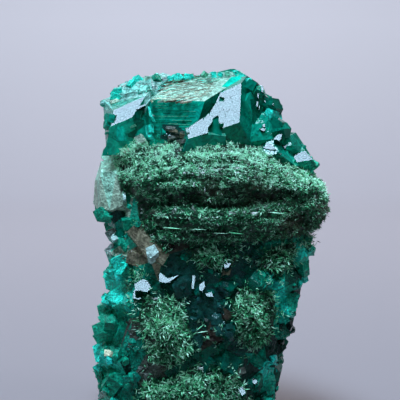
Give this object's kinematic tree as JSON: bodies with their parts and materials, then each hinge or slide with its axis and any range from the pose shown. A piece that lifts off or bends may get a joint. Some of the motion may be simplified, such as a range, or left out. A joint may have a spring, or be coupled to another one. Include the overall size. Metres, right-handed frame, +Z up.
{
  "type": "dioptase mineral specimen",
  "caption": "Upright cluster of emerald-green dioptase crystals with a felted malachite ledge across its front, sawn flat at the foot.",
  "frame": {"origin": "middle of the outline seen from above, on the flat sawn foot", "axes": "+Z up along the specimen's height, +X to the viewer's right, -Y towards the viewer"},
  "size_m": [0.0412, 0.0258, 0.0649],
  "materials": {
    "dioptase": "vitreous crystal faces, translucent emerald green",
    "malachite": "silky felted needles, mid green"
  },
  "bodies": {
    "root": {"dioptase_crystals": "dioptase", "malachite_ledge": "malachite", "malachite_tuft_left": "malachite", "malachite_tuft_right": "malachite", "malachite_tuft_foot": "malachite", "malachite_tuft_upper": "malachite", "malachite_tuft_middle": "malachite", "malachite_tuft_back": "malachite", "malachite_tuft_back_left": "malachite"}
  },
  "joints": []
}
